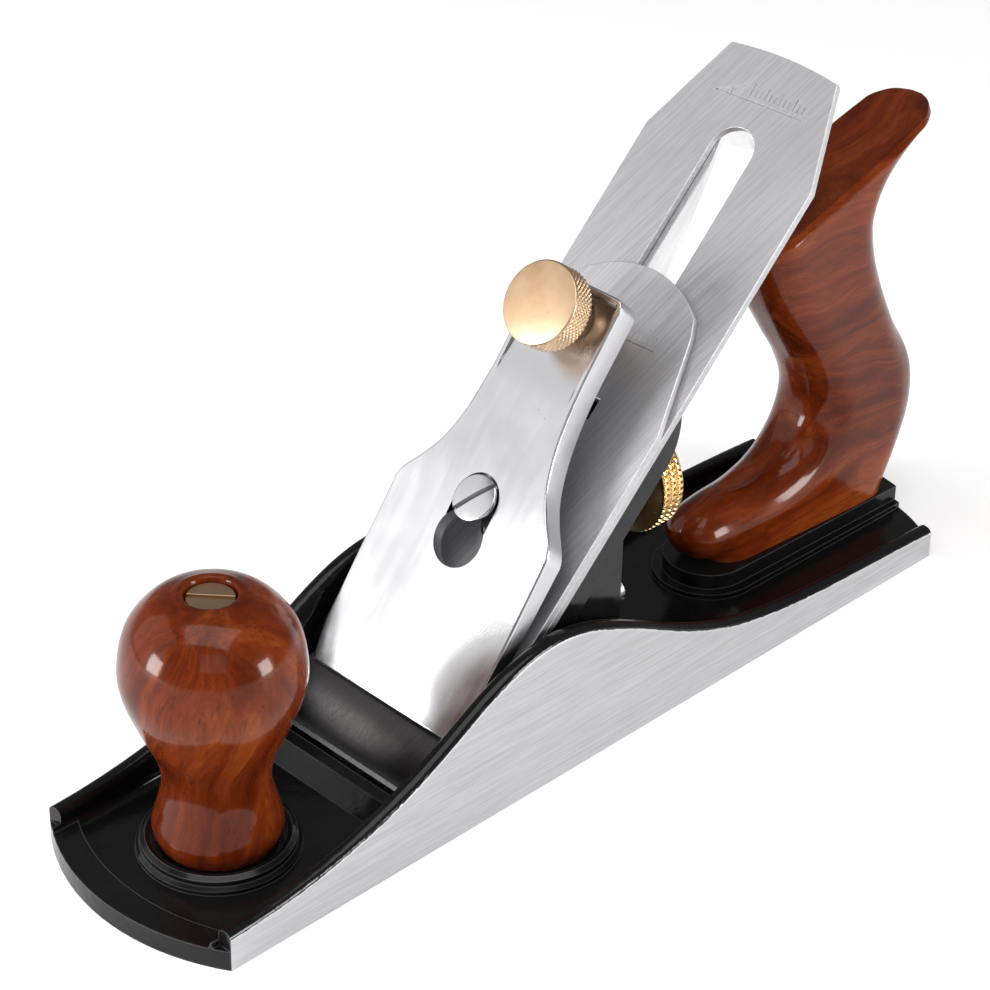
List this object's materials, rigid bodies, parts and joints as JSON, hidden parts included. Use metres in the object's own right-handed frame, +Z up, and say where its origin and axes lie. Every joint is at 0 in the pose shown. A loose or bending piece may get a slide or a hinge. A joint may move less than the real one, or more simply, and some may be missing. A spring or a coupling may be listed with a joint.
{
  "type": "hand plane",
  "caption": "Bench smoothing plane: iron body, wooden knob and tote, sliding frog, cutting iron with chip breaker, lever cap with thumb screw, depth wheel and lateral lever.",
  "frame": {"origin": "on the sole plane, midway along the overall length and on the centre line", "axes": "+X from the toe towards the heel along the sole, +Y across the sole to the plane's right as it is pushed, +Z up from the sole"},
  "size_m": [0.2577, 0.061, 0.1369],
  "materials": {
    "japanned": "glossy black japanned enamel over cast iron",
    "ground_iron": "ground bare cast iron",
    "rosewood": "glossy lacquered reddish-brown hardwood with dark figure",
    "brass": "satin brass",
    "gold_brass": "knurled brass, deeper gold",
    "bright_plate": "bright polished nickel plate",
    "blade_steel": "surface-ground tool steel with fine scratches",
    "screw_steel": "zinc-grey machine steel",
    "yoke_iron": "dark cast iron"
  },
  "bodies": {
    "base": {"plane_body": "ground_iron", "knob": "rosewood", "knob_rod": "screw_steel", "knob_nut": "brass", "tote": "rosewood", "tote_rod": "screw_steel", "tote_nut": "brass", "frog_screws": "screw_steel", "frog_washers": "screw_steel"},
    "adjusting_screw": {"frog_adjusting_screw": "screw_steel"},
    "frog": {"frog": "japanned", "wheel_stud": "screw_steel", "yoke_pin": "screw_steel", "lever_rivet": "screw_steel", "frog_tab": "screw_steel", "tab_screw": "screw_steel", "lever_cap_screw": "bright_plate"},
    "bush": {"wheel_bush": "gold_brass"},
    "wheel": {"depth_wheel": "gold_brass"},
    "yoke": {"yoke": "yoke_iron"},
    "lateral": {"lateral_lever": "bright_plate"},
    "roller": {"lateral_roller": "bright_plate"},
    "blade_screw": {"chip_breaker_screw": "screw_steel"},
    "breaker": {"chip_breaker": "blade_steel"},
    "iron": {"cutting_iron": "blade_steel"},
    "cap": {"lever_cap": "bright_plate"},
    "thumb_stud": {"thumb_screw_stud": "brass"},
    "thumb_head": {"thumb_screw_head": "brass"}
  },
  "joints": [
    {"name": "frog_slide", "type": "slide", "parent": "base", "child": "frog", "axis": [1, 0, 0], "range_m": [-0.0015, 0.00025]},
    {"name": "frog_screw_spin", "type": "hinge", "parent": "frog", "child": "adjusting_screw", "pos_m": [0.023, 0, 0.014], "axis": [1, 0, 0], "range_deg": [-542, 92]},
    {"name": "wheel_bush_slide", "type": "slide", "parent": "frog", "child": "bush", "axis": [1, 0, 0], "range_m": [-0.0013, 0.00585]},
    {"name": "wheel_spin", "type": "hinge", "parent": "bush", "child": "wheel", "pos_m": [0.03, 0, 0.0455], "axis": [1, 0, 0], "range_deg": [-1639, 341]},
    {"name": "yoke_pivot", "type": "hinge", "parent": "frog", "child": "yoke", "pos_m": [0.0223, 0, 0.062], "axis": [0, 1, 0], "range_deg": [-20.32, 4.52]},
    {"name": "blade_depth", "type": "slide", "parent": "frog", "child": "blade_screw", "axis": [-0.7071, 0, -0.7071], "range_m": [-0.00099, 0.00488]},
    {"name": "lateral_lever", "type": "hinge", "parent": "frog", "child": "lateral", "pos_m": [0.02551, 0, 0.08096], "axis": [-0.7071, 0, 0.7071], "range_deg": [-22, 0]},
    {"name": "roller_spin", "type": "hinge", "parent": "lateral", "child": "roller", "pos_m": [0.02062, -0.00095, 0.07891], "axis": [-0.7071, 0, 0.7071], "continuous": true},
    {"name": "blade_tilt", "type": "hinge", "parent": "blade_screw", "child": "breaker", "pos_m": [0.00146, 0, 0.06116], "axis": [-0.7071, 0, 0.7071], "range_deg": [-0.01, 0.68]},
    {"name": "iron_setback", "type": "slide", "parent": "breaker", "child": "iron", "axis": [-0.7071, 0, -0.7071], "range_m": [-0.0009, 0.0012]},
    {"name": "lever_cap_slide", "type": "slide", "parent": "frog", "child": "cap", "axis": [0.7071, 0, 0.7071], "range_m": [0, 0.0094]},
    {"name": "thumb_stud_slide", "type": "slide", "parent": "cap", "child": "thumb_stud", "axis": [-0.8071, 0, 0.5905], "range_m": [0, 0.004]},
    {"name": "thumb_spin", "type": "hinge", "parent": "thumb_stud", "child": "thumb_head", "pos_m": [0.00694, 0, 0.09628], "axis": [-0.8071, 0, 0.5905], "range_deg": [-2, 1446]}
  ],
  "couplings": [
    {"joint": "frog_screw_spin", "follows": "frog_slide", "rad_per_m": 6283.2},
    {"joint": "wheel_spin", "follows": "blade_depth", "rad_per_m": -5790.4},
    {"joint": "wheel_bush_slide", "follows": "blade_depth", "ratio": 1.1702},
    {"joint": "yoke_pivot", "follows": "blade_depth", "rad_per_m": -70.932},
    {"joint": "blade_tilt", "follows": "lateral_lever", "ratio": -0.03},
    {"joint": "thumb_spin", "follows": "thumb_stud_slide", "rad_per_m": 6283.2}
  ]
}
